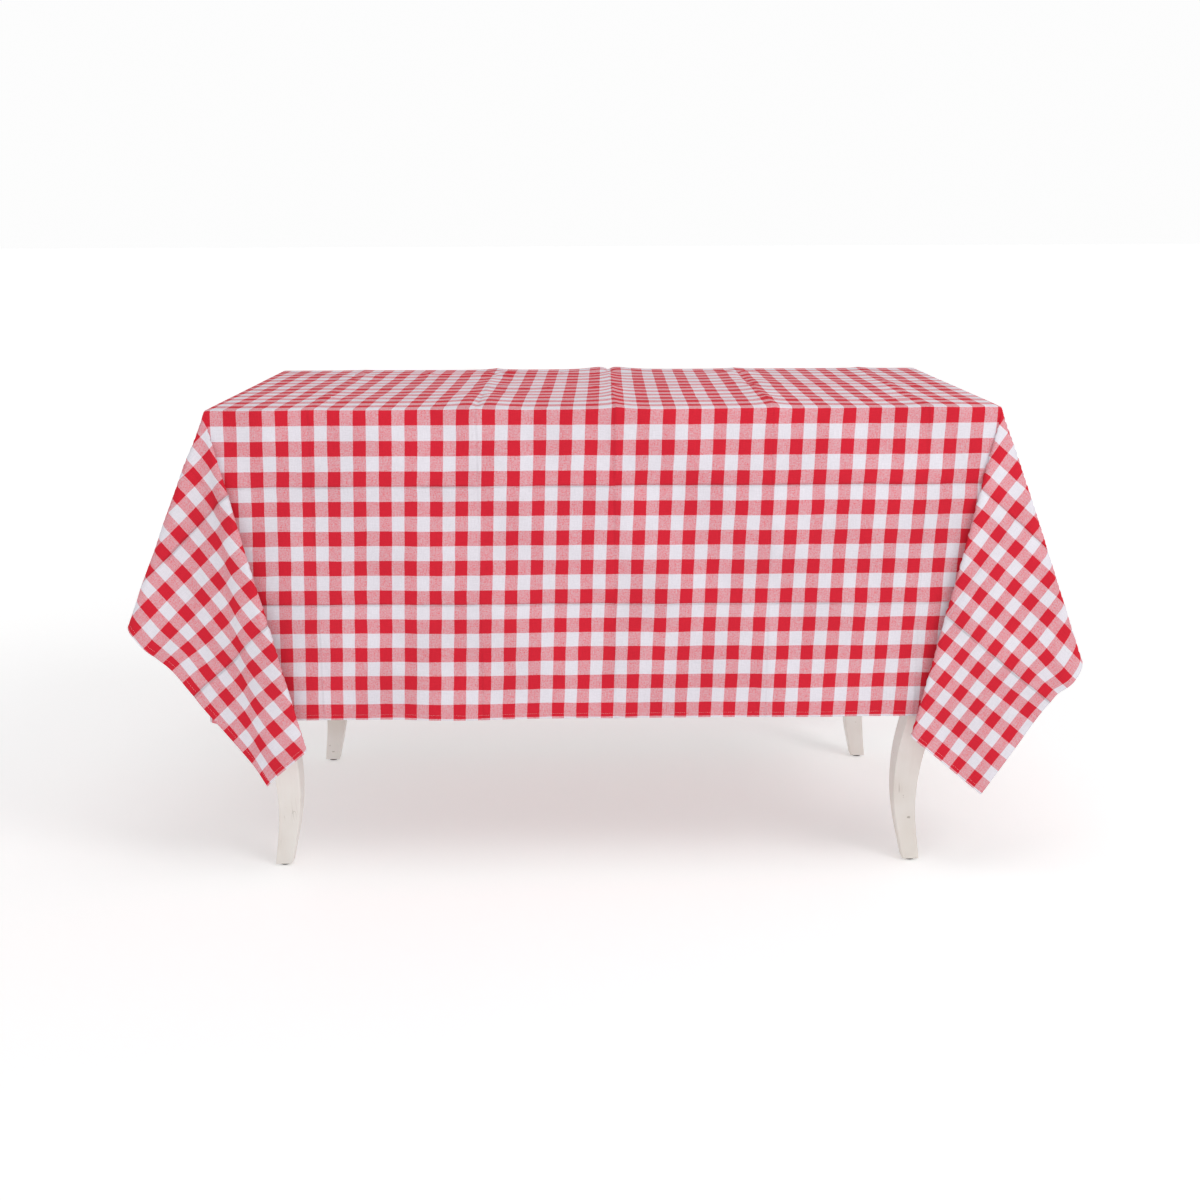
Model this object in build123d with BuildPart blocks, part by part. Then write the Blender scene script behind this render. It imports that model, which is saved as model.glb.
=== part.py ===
"""Side table with sabre legs, dressed with a draped gingham tablecloth.

Frame: origin on the floor under the centre of the table, +X along the table's length,
-Y towards the front, +Z up.  All sizes are in millimetres.
"""

import os

from build123d import *

# ---- driving dimensions: table ----
TABLE_HEIGHT = 736.0
TOP_LENGTH = 1158.0
TOP_DEPTH = 574.0
TOP_THICKNESS = 18.0
TOP_CORNER_RADIUS = 5.0
TOP_EDGE_RADIUS = 2.0

APRON_HEIGHT = 80.0
APRON_THICKNESS = 18.0
APRON_SETBACK = 4.0
# the legs and aprons stand off-centre under the top, towards the left end
BASE_SHIFT = -11.0

LEG_BLOCK = 52.0
LEG_BLOCK_HEIGHT = 158.0
LEG_END_INSET = 19.0
LEG_FRONT_INSET = 11.0
LEG_EDGE_RADIUS = 2.0
LEG_FRONT_SWEEP = 0.6
# height above the floor, inward sweep of the centre line, width of the square section
LEG_SECTIONS = [
    (4.0, 29.5, 26.5),
    (60.0, 39.0, 31.5),
    (100.0, 43.0, 35.0),
    (140.0, 43.0, 38.5),
    (190.0, 38.0, 42.5),
    (260.0, 24.0, 47.0),
    (420.0, 7.0, 51.5),
    (560.0, 0.0, LEG_BLOCK),
]

GLIDE_RADIUS = 9.0
GLIDE_HEIGHT = LEG_SECTIONS[0][0]
GLIDE_CHAMFER = 1.0
GLIDE_NAIL_RADIUS = 1.2
GLIDE_NAIL_LENGTH = 12.0

# ---- driving dimensions: corner braces and hardware ----
BRACE_GAP = 10.0
BRACE_THICKNESS = 20.0
BRACE_HEIGHT = 56.0
BRACE_SCREW_OFFSET = 36.0
BRACE_SCREW_RADIUS = 1.95
BRACE_SCREW_HEAD_RADIUS = 4.0
BRACE_SCREW_HEAD_HEIGHT = 2.6
BRACE_SCREW_TIP = 25.0

BOLT_RADIUS = 4.0
BOLT_GRIP = 28.0
BOLT_TAIL = 16.0
BOLT_CLEARANCE = 0.5
WASHER_RADIUS = 11.0
WASHER_THICKNESS = 1.6
NUT_ACROSS_CORNERS = 15.0
NUT_HEIGHT = 6.5

BRACKET_LEG = 22.0
BRACKET_WIDTH = 18.0
BRACKET_THICKNESS = 2.0
BRACKET_HOLE_RADIUS = 2.2
BRACKET_SPACING = 330.0
BRACKET_SCREW_RADIUS = 1.7
BRACKET_SCREW_LENGTH = 14.0
BRACKET_SCREW_HEAD_RADIUS = 3.6
BRACKET_SCREW_HEAD_HEIGHT = 2.0
FIT = 0.05

# ---- driving dimensions: tablecloth ----
CLOTH_THICKNESS = 1.0
CLOTH_GAP = 0.4
FRONT_DROP = 474.0
SIDE_DROP = 336.0
HEM_HEIGHT = 10.0
HEM_THICKNESS = 2.0
THREAD_SIZE = 0.4
THREAD_ABOVE_EDGE = 8.0

# The fold at each corner is a flat pleat whose creases all start at the corner of the table.
# Directions are (outward along the length, outward across the depth, up) from that corner.
NOSE_DIRECTION = Vector(-0.21, 0.085, -0.974)
OUTER_DIRECTION = Vector(0.36, 0.025, -0.933)
TIP_DIRECTION = (NOSE_DIRECTION * 0.68 + OUTER_DIRECTION * 0.32).normalized()
NOSE_LENGTH = 517.0
TIP_LENGTH = 586.0
OUTER_LENGTH = 385.5
FOLD_START = 15.0

# ---- derived sizes ----
UNDERSIDE = TABLE_HEIGHT - TOP_THICKNESS
LEG_X = TOP_LENGTH / 2 - LEG_END_INSET - LEG_BLOCK / 2
LEG_Y = TOP_DEPTH / 2 - LEG_FRONT_INSET - LEG_BLOCK / 2
INNER_X = LEG_X - LEG_BLOCK / 2
INNER_Y = LEG_Y - LEG_BLOCK / 2
APRON_INNER = LEG_BLOCK - APRON_SETBACK - APRON_THICKNESS
APRON_MIDDLE = APRON_INNER + APRON_THICKNESS / 2
APRON_CORNER = APRON_INNER * 2**0.5
HARDWARE_HEIGHT = UNDERSIDE - APRON_HEIGHT / 2
PILOT_DEPTH = BRACKET_SCREW_LENGTH - BRACKET_THICKNESS + 1.0

CLOTH_TOP = TABLE_HEIGHT + CLOTH_GAP + CLOTH_THICKNESS
CLOTH_X = TOP_LENGTH / 2 + CLOTH_GAP + CLOTH_THICKNESS
CLOTH_Y = TOP_DEPTH / 2 + CLOTH_GAP + CLOTH_THICKNESS

CORNERS = {
    "front_left": (-1, -1),
    "front_right": (1, -1),
    "back_left": (-1, 1),
    "back_right": (1, 1),
}
DIAGONALS = {"front_left": 225, "front_right": 315, "back_left": 135, "back_right": 45}

os.makedirs("parts", exist_ok=True)


def save(part, name):
    """Label a finished sub-part and write it as its own file."""
    part.label = name
    export_step(part, f"parts/{name}.step")


def save_table(part, name):
    """Write a part of the table, drawn about the middle of its base, in its place under the top."""
    save(part.moved(Location((BASE_SHIFT, 0, 0))), name)


def corner_places():
    """One frame for each leg's inner corner at hardware height, +X outwards along the diagonal."""
    places = {}
    for name, (side_x, side_y) in CORNERS.items():
        spot = (side_x * INNER_X, side_y * INNER_Y, HARDWARE_HEIGHT)
        places[name] = Location(spot, (0, 0, DIAGONALS[name]))
    return places


def bracket_places():
    """One frame for each bracket, on an apron's inner face under the top, +Y pointing into the apron."""
    places = []
    for step in (-1, 0, 1):
        places.append(Location((step * BRACKET_SPACING, INNER_Y + APRON_INNER, UNDERSIDE)))
        places.append(Location((step * BRACKET_SPACING, -INNER_Y - APRON_INNER, UNDERSIDE), (0, 0, 180)))
    places.append(Location((INNER_X + APRON_INNER, 0, UNDERSIDE), (0, 0, 270)))
    places.append(Location((-INNER_X - APRON_INNER, 0, UNDERSIDE), (0, 0, 90)))
    return places


def rod(radius, start, end, side=0.0, mode=Mode.ADD):
    """A round bar along the local X axis from start to end, shifted sideways."""
    with Locations(Location(((start + end) / 2, side, 0), (0, 90, 0))):
        Cylinder(radius, end - start, mode=mode)


def bracket_bores(radius, upright, level):
    """The pilot holes of a bracket's two screws: level into the apron, upright into the top."""
    middle = BRACKET_LEG / 2
    if level:
        with Locations(Location((0, level / 2, -middle), (90, 0, 0))):
            Cylinder(radius, level, mode=Mode.SUBTRACT)
    if upright:
        with Locations((0, -middle, upright / 2)):
            Cylinder(radius, upright, mode=Mode.SUBTRACT)


places = corner_places()
brackets = bracket_places()

# ---- tabletop ----
with BuildPart() as tabletop:
    with BuildSketch(Plane.XY.offset(UNDERSIDE)):
        with Locations((-BASE_SHIFT, 0)):
            RectangleRounded(TOP_LENGTH, TOP_DEPTH, TOP_CORNER_RADIUS)
    extrude(amount=TOP_THICKNESS)
    fillet(tabletop.faces().sort_by(Axis.Z)[-1].edges(), TOP_EDGE_RADIUS)
    with Locations(*brackets):
        bracket_bores(BRACKET_SCREW_RADIUS + FIT, PILOT_DEPTH, 0)
save_table(tabletop.part, "tabletop")

# ---- aprons, which butt against the leg blocks ----
APRONS = {
    "front_apron": (0, -INNER_Y - APRON_MIDDLE, 2 * INNER_X, APRON_THICKNESS),
    "back_apron": (0, INNER_Y + APRON_MIDDLE, 2 * INNER_X, APRON_THICKNESS),
    "left_apron": (-INNER_X - APRON_MIDDLE, 0, APRON_THICKNESS, 2 * INNER_Y),
    "right_apron": (INNER_X + APRON_MIDDLE, 0, APRON_THICKNESS, 2 * INNER_Y),
}
for name, (x, y, length, depth) in APRONS.items():
    with BuildPart() as apron:
        with Locations((x, y, UNDERSIDE - APRON_HEIGHT / 2)):
            Box(length, depth, APRON_HEIGHT)
        with Locations(*brackets):
            bracket_bores(BRACKET_SCREW_RADIUS + FIT, 0, PILOT_DEPTH)
        with Locations(*places.values()):
            for side in (-BRACE_SCREW_OFFSET, BRACE_SCREW_OFFSET):
                rod(BRACE_SCREW_RADIUS + FIT, 0, BRACE_SCREW_TIP + 1, side, Mode.SUBTRACT)
    save_table(apron.part, name)


def first_step(points):
    """The direction in which an edge of the leg leaves the floor."""
    return (Vector(*points[1]) - Vector(*points[0])).normalized()


def leg_outline(plane, centre, outward, share):
    """The leg's face as seen along one axis: a straight block above two long curves, on a given plane."""
    inner = []
    outer = []
    for height, sweep, width in LEG_SECTIONS:
        middle = centre - outward * sweep * share
        inner.append((middle - width / 2, height))
        outer.append((middle + width / 2, height))
    with BuildSketch(plane) as outline:
        with BuildLine():
            left = Spline(*inner, tangents=[first_step(inner), (0, 1)])
            right = Spline(*outer, tangents=[first_step(outer), (0, 1)])
            Line(left @ 0, right @ 0)
            Polyline(left @ 1, (inner[-1][0], UNDERSIDE), (outer[-1][0], UNDERSIDE), right @ 1)
        make_face()
    return outline.sketch


# ---- sabre legs: square sections that swell, sweep inwards and kick out at the foot ----
for name, (side_x, side_y) in CORNERS.items():
    with BuildPart() as leg:
        extrude(leg_outline(Plane.XZ, side_x * LEG_X, side_x, 1.0), amount=TOP_DEPTH, both=True)
        side_view = leg_outline(Plane.YZ, side_y * LEG_Y, side_y, LEG_FRONT_SWEEP)
        extrude(side_view, amount=TOP_LENGTH, both=True, mode=Mode.INTERSECT)
        fillet(leg.edges().filter_by(lambda edge: edge.length > LEG_BLOCK_HEIGHT / 2), LEG_EDGE_RADIUS)
        with Locations(places[name]):
            rod(BOLT_RADIUS + FIT, 0, BOLT_GRIP + 1, 0, Mode.SUBTRACT)
        foot_x = side_x * (LEG_X - LEG_SECTIONS[0][1])
        foot_y = side_y * (LEG_Y - LEG_SECTIONS[0][1] * LEG_FRONT_SWEEP)
        with Locations((foot_x, foot_y, GLIDE_HEIGHT + GLIDE_NAIL_LENGTH / 2)):
            Cylinder(GLIDE_NAIL_RADIUS + FIT, GLIDE_NAIL_LENGTH + 1, mode=Mode.SUBTRACT)
    save_table(leg.part, f"{name}_leg")

    # nail-on glide under the foot
    with BuildPart() as glide:
        with Locations((foot_x, foot_y, GLIDE_HEIGHT / 2)):
            Cylinder(GLIDE_RADIUS, GLIDE_HEIGHT)
        chamfer(glide.edges().group_by(Axis.Z)[0], GLIDE_CHAMFER)
        with Locations((foot_x, foot_y, GLIDE_HEIGHT + GLIDE_NAIL_LENGTH / 2 - 1)):
            Cylinder(GLIDE_NAIL_RADIUS, GLIDE_NAIL_LENGTH + 1)
    save_table(glide.part, f"{name}_glide")

# ---- corner braces: blocks across each corner, mitred to both aprons ----
BRACE_OUTER = -BRACE_GAP
BRACE_INNER = -BRACE_GAP - BRACE_THICKNESS
for name, (side_x, side_y) in CORNERS.items():
    with BuildPart() as brace:
        brace_bottom = HARDWARE_HEIGHT - BRACE_HEIGHT / 2
        corner = (side_x * INNER_X, side_y * INNER_Y, brace_bottom)
        along = (side_x, side_y, 0)
        with BuildSketch(Plane(corner, x_dir=along, z_dir=(0, 0, 1))):
            with BuildLine():
                Polyline(
                    (BRACE_OUTER, APRON_CORNER - BRACE_OUTER),
                    (BRACE_INNER, APRON_CORNER - BRACE_INNER),
                    (BRACE_INNER, BRACE_INNER - APRON_CORNER),
                    (BRACE_OUTER, BRACE_OUTER - APRON_CORNER),
                    close=True,
                )
            make_face()
        extrude(amount=BRACE_HEIGHT)
        with Locations(places[name]):
            rod(BOLT_RADIUS + BOLT_CLEARANCE, BRACE_INNER - 1, BRACE_OUTER + 1, 0, Mode.SUBTRACT)
            for side in (-BRACE_SCREW_OFFSET, BRACE_SCREW_OFFSET):
                rod(BRACE_SCREW_RADIUS + FIT, BRACE_INNER - 1, BRACE_OUTER + 1, side, Mode.SUBTRACT)
    save_table(brace.part, f"{name}_brace")

# ---- hanger bolts, washers and nuts that pull each leg against its brace ----
WASHER_FACE = BRACE_INNER - WASHER_THICKNESS
with BuildPart() as hanger_bolts:
    with Locations(*places.values()):
        rod(BOLT_RADIUS, BRACE_INNER - BOLT_TAIL, BOLT_GRIP)
save_table(hanger_bolts.part, "hanger_bolts")

with BuildPart() as hanger_washers:
    with Locations(*places.values()):
        rod(WASHER_RADIUS, WASHER_FACE, BRACE_INNER)
        rod(BOLT_RADIUS + BOLT_CLEARANCE, WASHER_FACE - 1, BRACE_INNER + 1, 0, Mode.SUBTRACT)
save_table(hanger_washers.part, "hanger_washers")

with BuildPart() as hanger_nuts:
    for side_x, side_y in CORNERS.values():
        start = (INNER_X * side_x, INNER_Y * side_y, HARDWARE_HEIGHT)
        inwards = Vector(-side_x, -side_y, 0).normalized()
        seat = Vector(*start) - inwards * WASHER_FACE
        with BuildSketch(Plane(seat, z_dir=inwards)):
            RegularPolygon(NUT_ACROSS_CORNERS / 2, 6)
            Circle(BOLT_RADIUS + FIT, mode=Mode.SUBTRACT)
        extrude(amount=NUT_HEIGHT)
save_table(hanger_nuts.part, "hanger_nuts")

# ---- wood screws through the brace ends into the aprons ----
with BuildPart() as brace_screws:
    with Locations(*places.values()):
        for side in (-BRACE_SCREW_OFFSET, BRACE_SCREW_OFFSET):
            rod(BRACE_SCREW_RADIUS, BRACE_INNER - 1, BRACE_SCREW_TIP, side)
            rod(BRACE_SCREW_HEAD_RADIUS, BRACE_INNER - BRACE_SCREW_HEAD_HEIGHT, BRACE_INNER, side)
save_table(brace_screws.part, "brace_screws")

# ---- angle brackets that hold the top down on the aprons, and their screws ----
HALF = BRACKET_LEG / 2
with BuildPart() as top_brackets:
    with Locations(*brackets):
        with Locations((0, -HALF, -BRACKET_THICKNESS / 2)):
            Box(BRACKET_WIDTH, BRACKET_LEG, BRACKET_THICKNESS)
        with Locations((0, -BRACKET_THICKNESS / 2, -HALF)):
            Box(BRACKET_WIDTH, BRACKET_THICKNESS, BRACKET_LEG)
        with Locations((0, -HALF, -BRACKET_THICKNESS / 2)):
            Cylinder(BRACKET_HOLE_RADIUS, 2 * BRACKET_THICKNESS, mode=Mode.SUBTRACT)
        with Locations(Location((0, -BRACKET_THICKNESS / 2, -HALF), (90, 0, 0))):
            Cylinder(BRACKET_HOLE_RADIUS, 2 * BRACKET_THICKNESS, mode=Mode.SUBTRACT)
save_table(top_brackets.part, "top_brackets")

SCREW_CENTRE = BRACKET_SCREW_LENGTH / 2 - BRACKET_THICKNESS
HEAD_CENTRE = -BRACKET_THICKNESS - BRACKET_SCREW_HEAD_HEIGHT / 2
with BuildPart() as bracket_screws:
    with Locations(*brackets):
        with Locations((0, -HALF, SCREW_CENTRE), Location((0, SCREW_CENTRE, -HALF), (90, 0, 0))):
            Cylinder(BRACKET_SCREW_RADIUS, BRACKET_SCREW_LENGTH)
        with Locations((0, -HALF, HEAD_CENTRE), Location((0, HEAD_CENTRE, -HALF), (90, 0, 0))):
            Cylinder(BRACKET_SCREW_HEAD_RADIUS, BRACKET_SCREW_HEAD_HEIGHT)
save_table(bracket_screws.part, "bracket_screws")

# ---- tablecloth: the panel on the table ----
with BuildPart() as cloth_top:
    with BuildSketch(Plane.XY.offset(CLOTH_TOP - CLOTH_THICKNESS)):
        Rectangle(2 * CLOTH_X, 2 * CLOTH_Y)
    extrude(amount=CLOTH_THICKNESS)
save(cloth_top.part, "cloth_top")


def hanging_panel(length, outward, inner, top_level, bottom_level, thickness):
    """Add a straight hanging panel with its inner face at a distance from the table's centre line."""
    middle = (top_level + bottom_level) / 2
    height = top_level - bottom_level
    offset = inner + thickness / 2
    with Locations((outward[0] * offset, outward[1] * offset, middle)):
        if outward[0]:
            Box(thickness, length, height)
        else:
            Box(length, thickness, height)


# side name: drop below the cloth's top, width of the panel, outward direction, inner face
INNER_FACE_X = CLOTH_X - CLOTH_THICKNESS
INNER_FACE_Y = CLOTH_Y - CLOTH_THICKNESS
SIDES = {
    "front": (FRONT_DROP, 2 * CLOTH_X, (0, -1), INNER_FACE_Y),
    "back": (FRONT_DROP, 2 * CLOTH_X, (0, 1), INNER_FACE_Y),
    "left": (SIDE_DROP, 2 * INNER_FACE_Y, (-1, 0), INNER_FACE_X),
    "right": (SIDE_DROP, 2 * INNER_FACE_Y, (1, 0), INNER_FACE_X),
}

# ---- tablecloth: four hanging drops and the turned hem along each ----
for name, (drop, length, outward, inner) in SIDES.items():
    edge = CLOTH_TOP - drop
    with BuildPart() as cloth_drop:
        hem_top = edge + HEM_HEIGHT
        hanging_panel(length, outward, inner, CLOTH_TOP - CLOTH_THICKNESS, hem_top, CLOTH_THICKNESS)
    save(cloth_drop.part, f"cloth_{name}_drop")
    with BuildPart() as hem:
        hanging_panel(length, outward, inner, hem_top, edge, HEM_THICKNESS)
    save(hem.part, f"{name}_hem")

# ---- sewing thread along the four hems ----
with BuildPart() as hem_thread:
    for drop, length, outward, inner in SIDES.values():
        row = CLOTH_TOP - drop + THREAD_ABOVE_EDGE
        hanging_panel(length, outward, inner + HEM_THICKNESS, row + THREAD_SIZE, row, THREAD_SIZE)
save(hem_thread.part, "hem_thread")


def fold_panel(corners):
    """Add one flat layer of a corner fold, thickened towards the front or the back of the table."""
    along_crease = corners[1] - corners[0]
    plane = Plane(corners[0], x_dir=along_crease, z_dir=along_crease.cross(corners[2] - corners[0]))
    with BuildSketch(plane) as layer:
        with BuildLine():
            Polyline(*[plane.to_local_coords(corner) for corner in corners], close=True)
        make_face()
    away = plane.z_dir.Y * corners[0].Y > 0
    extrude(layer.sketch, amount=CLOTH_THICKNESS if away else -CLOTH_THICKNESS)


# ---- tablecloth: the pleat that hangs from each corner of the table ----
for name, (side_x, side_y) in CORNERS.items():
    apex = Vector(side_x * CLOTH_X, side_y * CLOTH_Y, CLOTH_TOP)

    def along(direction, distance):
        """The point at a distance down one crease of this corner's pleat."""
        return apex + Vector(side_x * direction.X, side_y * direction.Y, direction.Z) * distance

    down = Vector(0, 0, -1)
    with BuildPart() as fold:
        fold_panel([
            along(OUTER_DIRECTION, FOLD_START),
            along(OUTER_DIRECTION, OUTER_LENGTH),
            along(TIP_DIRECTION, TIP_LENGTH),
            along(NOSE_DIRECTION, NOSE_LENGTH),
            along(NOSE_DIRECTION, FOLD_START),
        ])
        fold_panel([
            along(OUTER_DIRECTION, FOLD_START),
            along(OUTER_DIRECTION, OUTER_LENGTH),
            along(down, SIDE_DROP),
            along(down, FOLD_START),
        ])
    save(fold.part, f"cloth_{name}_fold")
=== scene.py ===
"""A gingham tablecloth draped over a painted dining table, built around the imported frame.

World frame: origin on the floor under the middle of the table, +X along the table, -Y to the
front, +Z up, metres. The cloth is worked out as a map from the flat cut cloth, (u, v), to its
place on the table: flat on the board, straight down at the sides, and folded at each corner.
"""

import math

import bpy
import numpy as np
from mathutils import Euler, Matrix, Vector


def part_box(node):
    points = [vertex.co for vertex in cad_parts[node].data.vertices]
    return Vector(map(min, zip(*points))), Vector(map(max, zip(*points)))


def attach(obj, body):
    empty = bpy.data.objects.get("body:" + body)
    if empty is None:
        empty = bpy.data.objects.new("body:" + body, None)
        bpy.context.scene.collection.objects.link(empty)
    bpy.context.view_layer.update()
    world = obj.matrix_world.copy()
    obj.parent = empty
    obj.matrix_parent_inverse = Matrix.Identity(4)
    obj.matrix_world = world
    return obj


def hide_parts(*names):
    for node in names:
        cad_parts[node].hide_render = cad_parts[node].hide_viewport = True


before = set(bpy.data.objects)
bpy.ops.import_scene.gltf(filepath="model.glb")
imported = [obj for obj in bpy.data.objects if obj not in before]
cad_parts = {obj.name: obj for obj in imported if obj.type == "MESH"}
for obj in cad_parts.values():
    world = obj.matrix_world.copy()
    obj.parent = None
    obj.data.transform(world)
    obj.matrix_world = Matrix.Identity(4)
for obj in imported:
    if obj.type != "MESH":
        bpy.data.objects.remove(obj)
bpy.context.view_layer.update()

# ---------------------------------------------------------------- sizes
board_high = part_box("tabletop")[1]
BOARD_CORNER_RADIUS = 0.005
BOARD_EDGE_RADIUS = 0.002

CLOTH_THICKNESS = 0.0006
CLOTH_CLEARANCE = 0.0004
CLOTH_OFFSET = CLOTH_CLEARANCE + CLOTH_THICKNESS / 2
HALF_X = board_high[0] + CLOTH_OFFSET
HALF_Y = board_high[1] + CLOTH_OFFSET
TOP_Z = board_high[2] + CLOTH_OFFSET

# the flat cloth, 1.829 by 1.524 m, lies 16 mm off centre along the table
CLOTH_LEFT, CLOTH_RIGHT = -0.898, 0.931
CLOTH_FRONT, CLOTH_BACK = -0.762, 0.762

CHECK_X = 0.03754  # one red and one white stripe, along the table
CHECK_Y = 0.0449  # one red and one white stripe, across the table
FIRST_RED = -0.2892  # the x at which a red stripe begins, on the front edge of the top

HEM_WIDTH = 0.010
HEM_THICKNESS = 0.0009
STITCH_INSET = 0.008
STITCH_PITCH = 0.0032
STITCH_LENGTH = 0.0024
STITCH_RADIUS = 0.00014
STITCH_SUNK = 0.0001  # how far the ends of a stitch sink into the cloth
STITCH_RISE = 0.00012  # how far its middle stands above its ends
STITCH_RINGS = (0.22, 0.78)  # where it is thickest, as shares of its length
STITCH_FULLNESS = 0.85

# ---------------------------------------------------------------- corner folds
# Each corner of the cloth hangs as a cone of straight lines from the corner of the board. A
# fold is given by where those lines point: (outward, forward) parts of a unit direction, from
# the end drop, round the folds, to the side drop, where forward is away from the table at
# either end. `known` gives the angle on the flat cloth, in degrees from straight down, at some
# places in the list, such as the two outer bends. The two front corners follow the photograph
# and the two back ones, which it doesn't show, are guessed.
FOLDS = {
    (-1, -1): dict(
        line=[(-0.10, 0), (-0.04, 0), (0.02, -0.003), (0.048, 0.0), (0.056, 0.010),
              (0.044, 0.022), (-0.02, 0.040), (-0.12, 0.078), (-0.212, 0.108),
              (-0.236, 0.122), (-0.224, 0.138), (-0.18, 0.132), (-0.134, 0.116),
              (-0.104, 0.090), (-0.076, 0.062), (-0.030, 0.044), (0.03, 0.030), (0.12, 0.012),
              (0.24, 0.020), (0.330, 0.044), (0.374, 0.042), (0.388, 0.018), (0.374, -0.012),
              (0.25, -0.052), (0.10, -0.068), (0.02, -0.067), (0, -0.09), (0, -0.14)],
        known={9: 25.3, 13: 33.8, 15: 39.2, 21: 66.5}),
    (1, -1): dict(
        line=[(-0.10, 0), (-0.04, 0), (0.02, -0.003), (0.048, 0.0), (0.056, 0.010),
              (0.044, 0.022), (-0.02, 0.038), (-0.12, 0.062), (-0.196, 0.078),
              (-0.216, 0.090), (-0.203, 0.104), (-0.14, 0.104), (-0.07, 0.088), (0.01, 0.078),
              (0.12, 0.062), (0.22, 0.056), (0.300, 0.050), (0.342, 0.038), (0.354, 0.014),
              (0.336, -0.016), (0.23, -0.058), (0.10, -0.077), (0.02, -0.070), (0, -0.09),
              (0, -0.14)],
        known={9: 21.3, 18: 60.8}),
    (-1, 1): dict(
        line=[(-0.10, 0), (-0.04, 0), (0.02, -0.003), (0.052, 0.0), (0.060, 0.010),
              (0.046, 0.022), (-0.02, 0.036), (-0.11, 0.066), (-0.188, 0.092),
              (-0.208, 0.104), (-0.194, 0.118), (-0.13, 0.108), (-0.07, 0.070), (0.02, 0.050),
              (0.14, 0.056), (0.24, 0.066), (0.310, 0.054), (0.350, 0.036), (0.360, 0.010),
              (0.342, -0.018), (0.24, -0.062), (0.10, -0.080), (0.02, -0.072), (0, -0.09),
              (0, -0.14)],
        known={9: 23.2, 18: 62.4}),
    (1, 1): dict(
        line=[(-0.10, 0), (-0.04, 0), (0.02, -0.003), (0.044, 0.0), (0.052, 0.010),
              (0.040, 0.022), (-0.03, 0.040), (-0.13, 0.074), (-0.224, 0.102),
              (-0.244, 0.114), (-0.230, 0.128), (-0.16, 0.118), (-0.08, 0.086), (0.02, 0.042),
              (0.12, 0.020), (0.22, 0.044), (0.310, 0.062), (0.358, 0.048), (0.372, 0.020),
              (0.356, -0.010), (0.24, -0.058), (0.10, -0.076), (0.02, -0.070), (0, -0.09),
              (0, -0.14)],
        known={9: 25.8, 18: 64.6}),
}
FOLD_BEGINS = math.degrees(math.asin(-0.10))
FOLD_ENDS = 90 + math.degrees(math.asin(0.14))
BIAS_STRETCH = 0.018  # how much longer the cloth hangs where its weight pulls along the bias
FOLD_HANG = 0.36  # the length over which the weight of the cloth pulls a fold back to upright


def smooth_line(points, steps=24):
    """A smooth line through uneven points: a cubic between each two, with weighted slopes."""
    p = np.array(points, float)
    chord = np.linalg.norm(np.diff(p, axis=0), axis=1)[:, None]
    slope = np.diff(p, axis=0) / chord
    tangent = np.empty_like(p)
    tangent[0], tangent[-1] = slope[0], slope[-1]
    tangent[1:-1] = (slope[:-1] * chord[1:] + slope[1:] * chord[:-1]) / (chord[:-1] + chord[1:])
    t = np.linspace(0, 1, steps, endpoint=False)[:, None]
    out = []
    for i, h in enumerate(chord):
        out.append(
            (2 * t**3 - 3 * t**2 + 1) * p[i]
            + (t**3 - 2 * t**2 + t) * h * tangent[i]
            + (3 * t**2 - 2 * t**3) * p[i + 1]
            + (t**3 - t**2) * h * tangent[i + 1]
        )
    return np.vstack(out + [p[-1:]]), steps


def fold_table(line, known):
    """Angles on the flat cloth against the (outward, forward) direction that each takes."""
    path, steps = smooth_line(line)
    down = np.sqrt(1 - (path**2).sum(1))
    unit = np.column_stack([path, down])
    length = np.concatenate([[0], np.cumsum(np.linalg.norm(np.diff(unit, axis=0), axis=1))])
    places = [0, *(length[index * steps] for index in known), length[-1]]
    angle = np.interp(length, places, [FOLD_BEGINS, *known.values(), FOLD_ENDS])
    return np.radians(angle), path[:, 0], path[:, 1]


FOLD_TABLES = {corner: fold_table(**fold) for corner, fold in FOLDS.items()}


def sharp_drape(u, v):
    """Where the flat cloth's points lie with every bend sharp, apart from the corner folds."""
    x, y = np.clip(u, -HALF_X, HALF_X), np.clip(v, -HALF_Y, HALF_Y)
    past_side, past_front = np.abs(u) - HALF_X, np.abs(v) - HALF_Y
    z = TOP_Z - np.maximum(past_side, 0) - np.maximum(past_front, 0)
    angle = np.arctan2(past_side, past_front)
    for (side, end), (angles, outward, forward) in FOLD_TABLES.items():
        here = (u * side > 0) & (v * end > 0) & (angle > angles[0]) & (angle < angles[-1])
        reach = np.hypot(past_side[here], past_front[here])
        a = np.interp(angle[here], angles, outward)
        b = np.interp(angle[here], angles, forward)
        b = np.where(b > 0, b / (1 + (reach / FOLD_HANG) ** 2), b)
        reach = reach * (1 + BIAS_STRETCH * np.sin(2 * np.clip(angle[here], 0, math.pi / 2)) ** 2)
        x[here] = side * (HALF_X + reach * a)
        y[here] = end * (HALF_Y + reach * b)
        z[here] = TOP_Z - reach * np.sqrt(1 - a * a - b * b)
    return np.stack([x, y, z], -1)


SOFTNESS = 0.0028  # how far each bend is rounded, along the cloth
SPREAD = np.array([-2.857, -1.3556, 0, 1.3556, 2.857])  # Gauss-Hermite points
SHARE = np.array([0.011257, 0.222076, 0.533333, 0.222076, 0.011257])


def soft_drape(u, v):
    """The sharp drape, averaged over a small patch of cloth so that it bends like cloth."""
    out = 0
    for du, wu in zip(SPREAD * SOFTNESS, SHARE):
        for dv, wv in zip(SPREAD * SOFTNESS, SHARE):
            out = out + wu * wv * sharp_drape(u + du, v + dv)
    return out


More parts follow.
